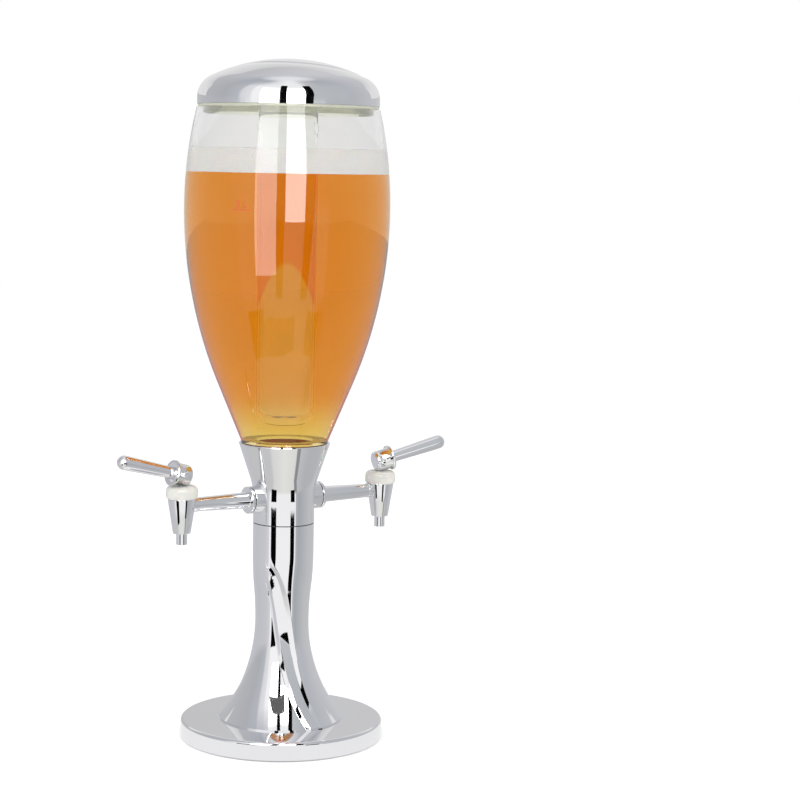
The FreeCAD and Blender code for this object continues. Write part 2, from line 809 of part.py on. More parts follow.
def lid_side(wall=0):
    # Upright side, a tight shoulder and the flat crown
    crown_centre = lid_height - lid_crown_curve
    shoulder_across = lid_radius - lid_shoulder_curve
    reach = lid_crown_curve - lid_shoulder_curve
    crown_turn = math.degrees(math.asin(shoulder_across / reach))
    straight = crown_centre + math.sqrt(reach ** 2 - shoulder_across ** 2)
    moves = [(straight,), (lid_shoulder_curve, crown_turn - 90), (lid_crown_curve, -crown_turn)]
    return trace((lid_radius, 0), 0, moves, wall)


def lid_shell():
    outer = turned([(0, 0), lid_side()])
    cavity = turned([(0, -1), (lid_radius - lid_wall, -1), lid_side(lid_wall)])
    return raised(outer.cut(cavity), lid_rim)


def ice_tube_seal():
    return ring(tube_neck_radius + fit_gap, tube_flange_radius, tube_seal_bottom, tube_seal_top)


def ice_tube():
    flange_bottom = tube_flange_top - tube_flange_thickness
    inner_corner = tube_corner - tube_wall
    corner_centre = (tube_bottom_radius - tube_corner, tube_bottom + tube_corner)
    outer = turned([(0, tube_bottom), arc(corner_centre, tube_corner, -90, 0),
                    (tube_top_radius, flange_bottom), (tube_flange_radius, flange_bottom),
                    (tube_flange_radius, tube_flange_top), (tube_neck_radius, tube_flange_top),
                    (tube_neck_radius, tube_top), (0, tube_top)])
    inner = tube_top_radius - tube_wall
    cavity = turned([(0, tube_bottom + tube_wall), arc(corner_centre, inner_corner, -90, 0),
                     (inner, flange_bottom), (inner, tube_top + 1), (0, tube_top + 1)])
    height = tube_top - lug_drop
    for side in (-1, 1):
        centre = Vector(side * (lug_reach - lug_radius), -lug_width / 2, height)
        outer = outer.fuse(Part.makeCylinder(lug_radius, lug_width, centre, Vector(0, 1, 0)))
    return outer.cut(cavity)


def mirrored(shape):
    return shape.mirror(origin, Vector(1, 0, 0))


def swivelled(shape, side, angle):
    # Turned about the axis of the tap on that side: 1 is the right, -1 the left
    return shape.rotated(Vector(side * tap_reach, 0, 0), upward, angle)


single_parts = {
    "base_cover": base_cover, "base_weight": base_weight, "base_plate": base_plate, "foot_ring": foot_ring,
    "base_screws": base_screws, "column": column, "column_screws": column_screws, "tie_rod": tie_rod,
    "tie_rod_washers": tie_rod_washers, "tie_rod_nuts": tie_rod_nuts, "seam_ring": seam_ring, "head": head,
    "beer_cup": beer_cup, "neck_gasket": neck_gasket, "tank": tank, "lid_gasket": lid_gasket,
    "lid_liner": lid_liner, "lid_shell": lid_shell, "ice_tube_seal": ice_tube_seal, "ice_tube": ice_tube,
}
paired_parts = {
    "arm": arm, "arm_seal": arm_seal, "arm_nut": arm_nut, "tap_body": tap_body, "tap_spout": tap_spout,
    "tap_bonnet": tap_bonnet, "seat_cup": seat_cup, "valve_spring": valve_spring,
}
swivelling_parts = {
    "valve_stem": valve_stem, "lever_head": lever_head, "lever_rod": lever_rod, "pivot_pin": pivot_pin,
}

os.makedirs("parts", exist_ok=True)
for name, make in single_parts.items():
    make().exportStep("parts/" + name + ".step")
for name, make in paired_parts.items():
    right = make()
    right.exportStep("parts/" + name + "_right.step")
    mirrored(right).exportStep("parts/" + name + "_left.step")
for name, make in swivelling_parts.items():
    right = make()
    swivelled(right, 1, lever_turn_right).exportStep("parts/" + name + "_right.step")
    swivelled(mirrored(right), -1, lever_turn_left).exportStep("parts/" + name + "_left.step")
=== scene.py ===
import json
import math
import random
import bmesh
import bpy
from mathutils import Matrix, Vector

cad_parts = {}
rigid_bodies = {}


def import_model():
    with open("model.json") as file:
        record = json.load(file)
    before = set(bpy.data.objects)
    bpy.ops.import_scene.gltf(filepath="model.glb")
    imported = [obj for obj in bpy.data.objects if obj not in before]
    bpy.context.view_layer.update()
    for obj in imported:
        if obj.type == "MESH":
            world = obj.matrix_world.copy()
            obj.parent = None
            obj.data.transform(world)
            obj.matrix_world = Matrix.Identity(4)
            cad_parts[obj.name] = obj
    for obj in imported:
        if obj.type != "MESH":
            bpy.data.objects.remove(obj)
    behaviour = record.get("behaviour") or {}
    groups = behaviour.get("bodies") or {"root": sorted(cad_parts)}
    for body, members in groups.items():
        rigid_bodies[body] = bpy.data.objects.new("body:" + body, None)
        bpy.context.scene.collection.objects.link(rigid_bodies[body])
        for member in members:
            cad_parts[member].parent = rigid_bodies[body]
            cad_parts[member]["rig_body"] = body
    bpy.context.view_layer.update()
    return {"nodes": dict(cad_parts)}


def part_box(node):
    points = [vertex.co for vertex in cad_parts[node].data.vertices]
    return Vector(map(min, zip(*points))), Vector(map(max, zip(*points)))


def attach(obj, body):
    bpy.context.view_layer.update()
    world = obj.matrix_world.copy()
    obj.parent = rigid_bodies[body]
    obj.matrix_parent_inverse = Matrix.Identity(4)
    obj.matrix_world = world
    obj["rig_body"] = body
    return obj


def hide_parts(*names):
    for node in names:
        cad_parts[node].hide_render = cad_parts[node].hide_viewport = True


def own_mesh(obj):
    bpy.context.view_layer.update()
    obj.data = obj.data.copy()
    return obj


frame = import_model()

mm = 0.001
towardCamera = math.radians(-120)  # direction of the camera seen from the tower's axis, about Z


# Camera, set from the ellipses of the rims in the photograph

view = {"place": (-0.8944, -1.5487, 0.4983), "heading": -33.175, "pitch": -6.45, "roll": 1.066, "lens": 94.05}

cameraData = bpy.data.cameras.new("camera")
cameraData.lens = view["lens"]
cameraData.sensor_width = 36
camera = bpy.data.objects.new("camera", cameraData)
bpy.context.scene.collection.objects.link(camera)
camera.matrix_world = (Matrix.Translation(view["place"])
                       @ Matrix.Rotation(math.radians(view["heading"]), 4, "Z")
                       @ Matrix.Rotation(math.radians(90 + view["pitch"]), 4, "X")
                       @ Matrix.Rotation(math.radians(view["roll"]), 4, "Z"))
bpy.context.scene.camera = camera
bpy.context.scene.view_settings.view_transform = "Standard"


# Small helpers

def linear(colour, alpha=1.0):
    parts = [int(colour[i:i + 2], 16) / 255 for i in (0, 2, 4)]
    return tuple(c / 12.92 if c <= 0.04045 else ((c + 0.055) / 1.055) ** 2.4 for c in parts) + (alpha,)


def addNode(tree, kind, inputs=None, **settings):
    node = tree.nodes.new("ShaderNode" + kind)
    for key, value in settings.items():
        setattr(node, key, value)
    for key, value in (inputs or {}).items():
        if isinstance(value, bpy.types.NodeSocket):
            tree.links.new(value, node.inputs[key])
        else:
            node.inputs[key].default_value = value
    return node


def newTree(name):
    material = bpy.data.materials.new(name)
    material.use_nodes = True
    material.node_tree.nodes.clear()
    return material, material.node_tree


def mottle(tree, size, low, high, detail=3.0, squeeze=(1, 1, 1)):
    # Soft noise with patches of a given real size, between two values
    place = addNode(tree, "TexCoord")
    fitted = addNode(tree, "Mapping", {"Vector": place.outputs["Object"], "Scale": squeeze})
    noise = addNode(tree, "TexNoise", {"Vector": fitted.outputs[0], "Scale": 1 / (size * mm), "Detail": detail})
    spread = addNode(tree, "MapRange", {"Value": noise.outputs[0], "From Min": 0.3, "From Max": 0.7,
                                        "To Min": low, "To Max": high})
    return spread.outputs[0]


def blended(tree, factor, first, second):
    # Each colour is a hex text or the output of another node
    mix = addNode(tree, "Mix", {"Factor": factor}, data_type="RGBA")
    for key, value in (("A", first), ("B", second)):
        if isinstance(value, str):
            mix.inputs[key].default_value = linear(value)
        else:
            tree.links.new(value, mix.inputs[key])
    return mix.outputs["Result"]


def surfaceOf(tree, shader, volume=None):
    out = addNode(tree, "OutputMaterial", {"Surface": shader})
    if volume:
        tree.links.new(volume, out.inputs["Volume"])


# Materials

def chromePlate():
    # Bright chromium plating: a clean mirror, with the faint waviness of the polished metal under it
    material, tree = newTree("chromium plating on polished shell")
    ripple = addNode(tree, "Bump", {"Height": mottle(tree, 34, 0, 1, 1.0), "Strength": 0.03, "Distance": 0.0015})
    tint = blended(tree, mottle(tree, 60, 0, 1), "F3F3F5", "EFEFF1")
    shader = addNode(tree, "BsdfPrincipled", {"Base Color": tint, "Metallic": 1.0, "Normal": ripple.outputs[0],
                                              "Roughness": mottle(tree, 5, 0.025, 0.05)})
    surfaceOf(tree, shader.outputs[0])
    return material


def zincSteel():
    # Turned and zinc-plated steel: grey, with a dull, slightly uneven shine
    material, tree = newTree("zinc-plated turned steel")
    shader = addNode(tree, "BsdfPrincipled", {"Base Color": blended(tree, mottle(tree, 4, 0, 1), "B9BAB6", "A4A6A6"),
                                              "Metallic": 1.0, "Roughness": mottle(tree, 1.5, 0.28, 0.42)})
    surfaceOf(tree, shader.outputs[0])
    return material


def springSteel():
    # Drawn stainless wire: fine lengthwise streaks
    material, tree = newTree("drawn stainless spring wire")
    shader = addNode(tree, "BsdfPrincipled", {"Base Color": blended(tree, mottle(tree, 2, 0, 1), "C6C8CA", "B2B4B6"),
                                              "Metallic": 1.0, "Roughness": mottle(tree, 0.6, 0.2, 0.3)})
    surfaceOf(tree, shader.outputs[0])
    return material


def castIron():
    # Cast and painted plate: dark, rough and grainy
    material, tree = newTree("painted cast iron")
    grain = addNode(tree, "Bump", {"Height": mottle(tree, 1.2, 0, 1, 6), "Strength": 0.5, "Distance": 0.0004})
    shader = addNode(tree, "BsdfPrincipled", {"Base Color": blended(tree, mottle(tree, 9, 0, 1), "303236", "3C3E42"),
                                              "Roughness": mottle(tree, 6, 0.6, 0.8), "Normal": grain.outputs[0]})
    surfaceOf(tree, shader.outputs[0])
    return material


def blackPlastic():
    # Spark-textured injection moulding: even black with a fine grain that softens the shine
    material, tree = newTree("moulded black ABS")
    grain = addNode(tree, "Bump", {"Height": mottle(tree, 0.5, 0, 1), "Strength": 0.3, "Distance": 0.0001})
    shader = addNode(tree, "BsdfPrincipled", {"Base Color": blended(tree, mottle(tree, 8, 0, 1), "1B1C1E", "242527"),
                                              "Roughness": mottle(tree, 3, 0.42, 0.52), "Normal": grain.outputs[0]})
    surfaceOf(tree, shader.outputs[0])
    return material


def darkRubber():
    # Moulded rubber: nearly black, dull, with a slight bloom
    material, tree = newTree("moulded nitrile rubber")
    shader = addNode(tree, "BsdfPrincipled", {"Base Color": blended(tree, mottle(tree, 5, 0, 1), "232427", "2D2E31"),
                                              "Roughness": mottle(tree, 2, 0.55, 0.7)})
    surfaceOf(tree, shader.outputs[0])
    return material


def whiteSilicone():
    # Pressed silicone: milky, light goes a little way in
    material, tree = newTree("pressed translucent silicone")
    shader = addNode(tree, "BsdfPrincipled", {"Base Color": blended(tree, mottle(tree, 5, 0, 1), "D6D7C6", "CCCDBC"),
                                              "Roughness": mottle(tree, 3, 0.4, 0.5), "IOR": 1.41,
                                              "Subsurface Weight": 0.3, "Subsurface Scale": 0.002})
    surfaceOf(tree, shader.outputs[0])
    return material


def ivoryPlastic():
    # Smooth moulded polypropylene: creamy white that lets some light through
    material, tree = newTree("cream moulded polypropylene")
    ripple = addNode(tree, "Bump", {"Height": mottle(tree, 12, 0, 1, 1.0), "Strength": 0.05, "Distance": 0.0006})
    shader = addNode(tree, "BsdfPrincipled", {"Base Color": blended(tree, mottle(tree, 15, 0, 1), "E9E8DA", "E2E1D2"),
                                              "Roughness": mottle(tree, 4, 0.2, 0.28), "IOR": 1.49,
                                              "Subsurface Weight": 0.15, "Subsurface Scale": 0.0015,
                                              "Normal": ripple.outputs[0]})
    surfaceOf(tree, shader.outputs[0])
    return material


def clearLiner():
    # Moulded styrene: clear, with a faint green-cream cast in its depth, and a faint painted glow (emission) that
    # brightens it
    material, tree = newTree("moulded clear styrene")
    shader = addNode(tree, "BsdfPrincipled", {"Base Color": blended(tree, mottle(tree, 15, 0, 1), "F4F5E8", "ECEEDF"),
                                              "Transmission Weight": mottle(tree, 20, 0.92, 0.97, 1.0),
                                              "Roughness": mottle(tree, 6, 0.02, 0.05), "IOR": 1.12,
                                              "Emission Color": linear("F2F3E6"), "Emission Strength": 0.06})
    surfaceOf(tree, shader.outputs[0])
    return material


def milkyBonnet():
    # Moulded acetal: white with a slightly grey, waxy depth and a soft highlight
    material, tree = newTree("natural moulded acetal")
    ripple = addNode(tree, "Bump", {"Height": mottle(tree, 5, 0, 1, 1.0), "Strength": 0.12, "Distance": 0.0004})
    shader = addNode(tree, "BsdfPrincipled", {"Base Color": blended(tree, mottle(tree, 7, 0, 1), "E6E5DF", "D9D9D2"),
                                              "Roughness": mottle(tree, 3, 0.16, 0.26), "IOR": 1.48,
                                              "Subsurface Weight": 0.3, "Subsurface Scale": 0.002,
                                              "Normal": ripple.outputs[0]})
    surfaceOf(tree, shader.outputs[0])
    return material


def frostedTube():
    # Blow-moulded natural polyethylene: whitish and hazy, what is behind shows through softened, with a faint painted
    # glow (emission) that whitens it
    material, tree = newTree("natural blow-moulded polyethylene")
    shader = addNode(tree, "BsdfPrincipled", {"Base Color": blended(tree, mottle(tree, 25, 0, 1), "FCFCFA", "F6F7F4"),
                                              "Transmission Weight": mottle(tree, 30, 0.95, 0.98, 1.0, (1, 1, 0.3)),
                                              "Roughness": mottle(tree, 10, 0.02, 0.05), "IOR": 1.03,
                                              "Emission Color": linear("FFFFFF"), "Emission Strength": 0.042})
    surfaceOf(tree, shader.outputs[0])
    return material


def clearTank():
    # Blow-moulded and flame-polished polycarbonate: clear, with faint long waves that bend what is behind
    material, tree = newTree("clear polished polycarbonate")
    ripple = addNode(tree, "Bump", {"Height": mottle(tree, 45, 0, 1, 1.0, (1, 1, 0.4)), "Strength": 0.03,
                                    "Distance": 0.001})
    shader = addNode(tree, "BsdfPrincipled", {"Base Color": blended(tree, mottle(tree, 60, 0, 1), "F3F3F3", "F0F0F0"),
                                              "Transmission Weight": 1.0, "IOR": 1.49, "Specular IOR Level": 0.18,
                                              "Roughness": mottle(tree, 8, 0.0, 0.02), "Normal": ripple.outputs[0]})
    surfaceOf(tree, shader.outputs[0])
    return material


def deepBeer():
    # Beer down in the neck and against the tank's floor: painted shade, a flat brown for the dark where little light
    # gets out, which also glows a little (painted light)
    material, tree = newTree("lager in the shade of the neck")
    shade = blended(tree, mottle(tree, 9, 0, 1, 2.0, (1, 1, 3)), "9A6238", "7C4720")
    shader = addNode(tree, "BsdfPrincipled", {"Base Color": shade, "Roughness": mottle(tree, 5, 0.2, 0.35),
                                              "IOR": 1.33, "Emission Color": shade, "Emission Strength": 0.6})
    surfaceOf(tree, shader.outputs[0])
    return material


def amberBeer():
    # Clear lager: the colour deepens with the length of liquid that the light crosses
    material, tree = newTree("clear lager")
    # Within besideTube the colour carries a painted arch: darker amber above a wavy height (painted shade), near-white
    # below it (painted light)
    place = addNode(tree, "TexCoord")
    turned = addNode(tree, "VectorRotate", {"Vector": place.outputs["Object"], "Angle": -towardCamera},
                     rotation_type="Z_AXIS")
    parts = addNode(tree, "SeparateXYZ", {"Vector": turned.outputs[0]})
    towardSquare = addNode(tree, "Math", {0: parts.outputs["X"], 1: 2.0}, operation="POWER")
    acrossSquare = addNode(tree, "Math", {0: parts.outputs["Y"], 1: 2.0}, operation="POWER")
    total = addNode(tree, "Math", {0: towardSquare.outputs[0], 1: acrossSquare.outputs[0]})
    difference = addNode(tree, "Math", {0: towardSquare.outputs[0], 1: acrossSquare.outputs[0]}, operation="SUBTRACT")
    wave = addNode(tree, "Math", {0: difference.outputs[0], 1: total.outputs[0]}, operation="DIVIDE")
    level = addNode(tree, "Math", {0: wave.outputs[0], 1: beer["archSwing"] * mm, 2: beer["archMiddle"] * mm},
                    operation="MULTIPLY_ADD")
    above = addNode(tree, "Math", {0: parts.outputs["Z"], 1: level.outputs[0]}, operation="SUBTRACT")
    over = addNode(tree, "MapRange", {"Value": above.outputs[0], "From Min": -0.0012, "From Max": 0.0012})
    near = addNode(tree, "Math", {0: total.outputs[0], 1: (beer["besideTube"] * mm) ** 2}, operation="LESS_THAN")
    film = addNode(tree, "Math", {0: over.outputs[0], 1: near.outputs[0]}, operation="MULTIPLY")
    rising = addNode(tree, "MapRange", {"Value": parts.outputs["Z"], "From Min": beer["paleTo"][0] * mm,
                                        "From Max": beer["paleTo"][1] * mm})
    outside = blended(tree, rising.outputs[0], beer["paleWall"], beer["wall"])
    shade = blended(tree, near.outputs[0], outside, blended(tree, film.outputs[0], "FDFBF4", beer["film"]))
    shader = addNode(tree, "BsdfPrincipled", {"Base Color": shade, "Transmission Weight": 1.0, "IOR": 1.02,
                                              "Roughness": 0.0})
    depth = addNode(tree, "VolumeAbsorption", {"Color": beer["absorption"], "Density": beer["density"]})
    surfaceOf(tree, shader.outputs[0], depth.outputs[0])
    return material


def beerFoam():
    # Fine beer foam: off-white, matt, with small bubbles, and a painted glow (emission) that brightens it
    material, tree = newTree("fine beer foam")
    place = addNode(tree, "TexCoord")
    cells = addNode(tree, "TexVoronoi", {"Vector": place.outputs["Object"], "Scale": 1 / (1.6 * mm)})
    bubbles = addNode(tree, "Bump", {"Height": cells.outputs["Distance"], "Strength": 0.4, "Distance": 0.0006})
    shader = addNode(tree, "BsdfPrincipled", {"Base Color": blended(tree, mottle(tree, 9, 0, 1), "FBFAF6", "F6F4EE"),
                                              "Roughness": mottle(tree, 3, 0.5, 0.7), "IOR": 1.33,
                                              "Subsurface Weight": 0.4, "Subsurface Scale": 0.004,
                                              "Emission Color": linear("FFFDFA"), "Emission Strength": 0.2,
                                              "Normal": bubbles.outputs[0]})
    surfaceOf(tree, shader.outputs[0])
    return material


def redInk():
    # Screen-printed ink: matt red, slightly thin in places
    material, tree = newTree("screen-printed red ink")
    shader = addNode(tree, "BsdfPrincipled", {"Base Color": blended(tree, mottle(tree, 1.5, 0, 1), "D85A2E", "C9481F"),
                                              "Roughness": mottle(tree, 2, 0.45, 0.6), "IOR": 1.5})
    surfaceOf(tree, shader.outputs[0])
    return material


# What stands in the tank. The arch is painted light and shade in the beer's colour round the ice tube: darker amber
# above it, near-white below it.

beer = {"top": 489.0, "foamTop": 509.0, "bottom": 241.0, "overlap": 1.6, "tubeGap": 0.3, "density": 40.0,
        "absorption": (0.9925, 0.94, 0.625, 1), "film": "FBC638", "wall": "F8AC58", "paleWall": "FDE9A6",
        "paleTo": (262.0, 298.0), "floorGap": 0.5, "darkAhead": -4.0, "archMiddle": 393.0, "archSwing": 20.0,
        "besideTube": 26.2}

chrome = chromePlate()
zinc = zincSteel()
wire = springSteel()
iron = castIron()
black = blackPlastic()
rubber = darkRubber()
silicone = whiteSilicone()
ivory = ivoryPlastic()
acetal = milkyBonnet()
linerPlastic = clearLiner()
hazy = frostedTube()
clear = clearTank()
lagerPaintedShade = deepBeer()
lager = amberBeer()
froth = beerFoam()
ink = redInk()
print("materials made")


# Shapes

def traced(start, heading, moves, step=1.5):
    # Points of a side made of lines (length,) and arcs (radius, turn) that run smoothly into each other.
    # The heading is in degrees from straight up, positive outwards.
    x, z = start
    angle = math.radians(heading)
    points = [start]
    for move in moves:
        turn = math.radians(move[1]) if len(move) == 2 else 0
        pieces = max(1, math.ceil(abs(turn) / math.radians(step)))
        part = turn / pieces
        chord = 2 * move[0] * math.sin(abs(part) / 2) if turn else move[0]
        for _ in range(pieces):
            x += chord * math.sin(angle + part / 2)
            z += chord * math.cos(angle + part / 2)
            angle += part
            points.append((x, z))
    return points


def inset(points, wall):
    # The same side moved in, square to itself
    moved = []
    for index, (x, z) in enumerate(points):
        before = points[max(0, index - 1)]
        after = points[min(len(points) - 1, index + 1)]
        along = Vector((after[0] - before[0], after[1] - before[1])).normalized()
        moved.append((x - along.y * wall, z + along.x * wall))
    return moved


def spun(points, steps, closed=True, rounding=0.0, rounded=()):
    # A profile of (radius, height) points in millimetres, turned about Z. Corners listed in rounded are softened.
    mesh = bmesh.new()
    line = [mesh.verts.new((x * mm, 0, z * mm)) for x, z in points]
    ends = line[1:] + line[:1] if closed else line[1:]
    for first, second in zip(line, ends):
        mesh.edges.new((first, second))
    if rounded:
        bmesh.ops.bevel(mesh, geom=[line[k] for k in rounded], offset=rounding * mm, segments=4, profile=0.5,
                        material=-1, affect="VERTICES")
    bmesh.ops.spin(mesh, geom=mesh.verts[:] + mesh.edges[:], cent=(0, 0, 0), axis=(0, 0, 1),
                   angle=math.tau, steps=steps, use_merge=True)
    bmesh.ops.remove_doubles(mesh, verts=mesh.verts[:], dist=2e-6)
    bmesh.ops.recalc_face_normals(mesh, faces=mesh.faces[:])
    return mesh


def finished(name, mesh, material, body, nodes=(), sharp=30):
    data = bpy.data.meshes.new(name)
    mesh.to_mesh(data)
    mesh.free()
    data.shade_smooth()
    data.set_sharp_from_angle(angle=math.radians(sharp))
    data.materials.append(material)
    piece = bpy.data.objects.new(name, data)
    bpy.context.scene.collection.objects.link(piece)
    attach(piece, body)
    if nodes:
        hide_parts(*nodes)
    return piece


def smoothCopy(name, node, material, sharp=30):
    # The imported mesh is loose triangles, so a copy of it is merged before it is smoothed
    original = frame["nodes"][node]
    mesh = bmesh.new()
    mesh.from_mesh(original.data)
    bmesh.ops.remove_doubles(mesh, verts=mesh.verts[:], dist=1e-6)
    return finished(name, mesh, material, original["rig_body"], [node], sharp)


def placed(mesh, matrix):
    bmesh.ops.transform(mesh, matrix=matrix, verts=mesh.verts[:])
    return mesh


# Base

base = {"radius": 87.5, "height": 16.5, "edge": 2.6, "wall": 2.6, "lift": 1.2, "bore": 4.3, "steps": 256}

rim = [(base["radius"], base["lift"])]
rim += traced((base["radius"], base["height"] - base["edge"]), 0, [(base["edge"], -90)], 6)
coverSide = [(base["bore"], base["height"])] + rim[::-1]
coverSide += [(base["radius"] - base["wall"], base["lift"]),
              (base["radius"] - base["wall"], base["height"] - base["wall"]),
              (base["bore"], base["height"] - base["wall"])]
finished("base_disc", spun(coverSide, base["steps"]), chrome, "stand", ["base_cover"])


# Column

column = {"bottom": 16.5, "height": 171.7, "foot": 53.0, "lip": 1.2, "waist": 22.8, "waistHeight": 85.5,
          "neck": 26.3, "neckHeight": 146.0, "wall": 3.0, "top": 4.0, "bore": 4.3, "steps": 480,
          "fluteTop": 147.0, "fluteAngle": -154.0, "fluteTurnStart": 137.5, "twist": 0.38, "hook": 15.0,
          "hookLength": 10.0, "count": 3, "zone": 8.5}
# Section across one flute, in millimetres: place along the surface and height out of it
fluteSection = [(-8.5, 0), (-8.2, -1.0), (-4.3, 0.75), (4.0, -0.75), (8.0, 0.95), (26.0, 0)]


def stepUp(value, low, high):
    share = min(1, max(0, (value - low) / (high - low)))
    return share * share * (3 - 2 * share)


def columnOutline():
    flareAcross = column["foot"] - column["waist"]
    flareAlong = column["waistHeight"] - column["lip"]
    flare = (flareAcross ** 2 + flareAlong ** 2) / (2 * flareAcross)
    flareTurn = 2 * math.degrees(math.atan(flareAcross / flareAlong))
    neckAcross = (column["neck"] - column["waist"]) / 2
    neckAlong = (column["neckHeight"] - column["waistHeight"]) / 2
    bow = (neckAcross ** 2 + neckAlong ** 2) / (2 * neckAcross)
    bowTurn = 2 * math.degrees(math.atan(neckAcross / neckAlong))
    side = traced((column["foot"], column["lip"]), -flareTurn, [(flare, flareTurn)], 0.7)
    side += traced(side[-1], 0, [(bow, bowTurn), (bow, -bowTurn)], 0.16)[1:]
    top = column["height"]
    count = 9
    side += [(column["neck"], side[-1][1] + (top - side[-1][1]) * k / count) for k in range(1, count + 1)]
    return side


def columnMesh():
    side = columnOutline()
    inner = inset([p for p in side[:-1]], column["wall"])
    inner = [p for p in inner if 0 < p[1] < column["height"] - column["top"]][::4]
    ceiling = column["height"] - column["top"]
    profile = [(column["foot"], 0)] + side
    profile += [(column["bore"], column["height"]), (column["bore"], ceiling), (column["neck"] - column["wall"], ceiling)]
    profile += inner[::-1] + [(column["foot"] - column["wall"], 0)]
    mesh = spun(profile, column["steps"])
    sector = math.tau / column["count"]
    radii = sorted((z, r) for r, z in [(column["foot"], 0)] + side)
    rings = {}

    def outlineAt(height):
        for (z0, r0), (z1, r1) in zip(radii, radii[1:]):
            if z0 <= height <= z1:
                return r0 + (r1 - r0) * (height - z0) / max(z1 - z0, 1e-9)
        return radii[-1][1]

    def ringAt(height):
        # What every point at one height shares: outer radius, turn of the spiral and depth of the two steps
        if height not in rings:
            drop = max(0, column["fluteTurnStart"] - height)
            turn = column["twist"] * drop + column["hook"] * (1 - math.exp(-drop / column["hookLength"]))
            depth = column["fluteTop"] - height
            rings[height] = outlineAt(height), math.radians(turn), stepUp(depth, 0, 26), stepUp(depth, 16, 46)
        return rings[height]

    def sectionAt(place, outer):
        # Each facet is flat across, but for the last, which runs out round the column
        for (s0, h0), (s1, h1) in zip(fluteSection, fluteSection[1:]):
            if s0 <= place <= s1:
                bow = (place - s0) * (s1 - place) / (2 * outer) if s1 < 20 else 0
                return h0 + (h1 - h0) * (place - s0) / (s1 - s0) - bow
        return 0.0

    for vert in mesh.verts:
        height = round(min(max(vert.co.z / mm, 0), column["height"]), 4)
        radius = math.hypot(vert.co.x, vert.co.y) / mm
        outer, spiral, sunkRight, sunkLeft = ringAt(height)
        angle = math.atan2(vert.co.y, vert.co.x) % math.tau
        index, share = divmod(angle / sector, 1)
        share = share * 2 - 1
        half = column["zone"] / outer / (sector / 2)
        if abs(share) < 0.3:
            share *= half / 0.3
        else:
            share = math.copysign(half + (abs(share) - 0.3) * (1 - half) / 0.7, share)
        place = share * sector / 2 * outer
        angle = math.radians(column["fluteAngle"]) + index * sector + share * sector / 2 + spiral
        if radius > outer - 0.2:
            radius += sectionAt(place, outer) * (sunkRight if place > 0 else sunkLeft)
        vert.co.x = radius * mm * math.cos(angle)
        vert.co.y = radius * mm * math.sin(angle)
    bmesh.ops.recalc_face_normals(mesh, faces=mesh.faces[:])
    return placed(mesh, Matrix.Translation((0, 0, column["bottom"] * mm)))


finished("twisted_column", columnMesh(), chrome, "stand", ["column"], 26)
print("base and column made")


# Head with its two bosses

head = {"bottom": 189.0, "height": 69.3, "neck": 26.4, "corner": 29.9, "curve": 60.0, "rim": 39.2, "rimRound": 0.9,
        "wall": 2.2, "floor": 4.0, "boss": 11.65, "reach": 33.0, "axis": 21.0, "bore": 5.3, "steps": 256}


def headMesh():
    coneHeight = head["height"] - head["rimRound"] - head["corner"]
    lean = math.atan2(head["rim"] - head["neck"], coneHeight)
    bend = head["curve"] * math.tan(lean / 2)
    cone = math.hypot(head["rim"] - head["neck"], coneHeight)
    side = traced((head["neck"], head["corner"] - bend), 0, [(head["curve"], math.degrees(lean)), (cone - bend,)], 0.8)
    inner = inset(side, head["wall"])
    top = head["height"]
    profile = [(4.3, 0), (head["neck"], 0)] + side
    profile += [(head["rim"] - 0.25, top - 0.25), (head["rim"] - head["rimRound"], top), (inner[-1][0], top)]
    profile += inner[::-1] + [(head["neck"] - head["wall"], head["floor"]), (4.3, head["floor"])]
    return placed(spun(profile, head["steps"]), Matrix.Translation((0, 0, head["bottom"] * mm)))


def alongX(mesh, side, height):
    # Something turned about Z is laid down so that its up points out along X, to the right or the left
    turn = Matrix.Rotation(math.radians(90 if side > 0 else -90), 4, "Y")
    return placed(mesh, Matrix.Translation((0, 0, height * mm)) @ turn)


finished("head_shell", headMesh(), chrome, "stand", ["head"])
armAxis = head["bottom"] + head["axis"]
for side, word in ((1, "right"), (-1, "left")):
    boss = spun([(head["bore"], 18), (head["boss"], 18), (head["boss"], head["reach"]), (head["bore"], head["reach"])],
                96, True, 0.5, (2,))
    finished("head_boss_" + word, alongX(boss, side, armAxis), chrome, "stand")


# Arms, taps and levers

arm = {"root": 7.0, "tip": 5.9, "collar": 33.7, "collarThickness": 2.8, "taper": 2.0, "end": 84.0, "shank": 5.0}
tap = {"reach": 98.5, "socket": 6.25, "socketReach": 14.5, "bottom": -23.5, "bottomRadius": 7.4, "shoulder": 6.3,
       "shoulderRadius": 12.1, "spout": 4.65, "spoutBore": 3.2, "spoutBottom": -33.0, "spoutTop": -14.0}
bonnet = {"radius": 13.4, "top": 17.0, "shoulder": 4.4, "foot": 12.3, "footCurve": 3.0, "plate": 3.5, "inner": 10.42, "hole": 2.65}
lever = {"pivot": 26.0, "tilt": 14.5, "outer": 8.1, "discThickness": 2.5, "rootRadius": 4.9, "tipRadius": 6.0,
         "length": 53.2, "stud": 2.6, "studLength": 2.8, "turnRight": -9.0, "turnLeft": 5.0}


def armMesh():
    start = arm["collar"] + arm["collarThickness"]
    return spun([(3.0, 20), (arm["shank"], 20), (arm["shank"], arm["collar"]), (head["boss"], arm["collar"]),
                 (head["boss"], start), (arm["root"] + 0.6, start), (arm["root"], start + arm["taper"]),
                 (arm["tip"], arm["end"]), (3.0, arm["end"])], 96, True, 0.5, (3, 4))


def atTap(mesh, side):
    return placed(mesh, Matrix.Translation((side * tap["reach"] * mm, 0, armAxis * mm)))


def bodyMesh():
    return spun([(4.67, tap["bottom"]), (tap["bottomRadius"], tap["bottom"]), (tap["shoulderRadius"], tap["shoulder"]),
                 (10.4, tap["shoulder"]), (10.4, 13.2), (8.6, 13.2), (8.6, -9.0), (3.2, -9.0), (3.2, -14.0),
                 (4.67, -14.0)], 128, True, 0.5, (1, 2))


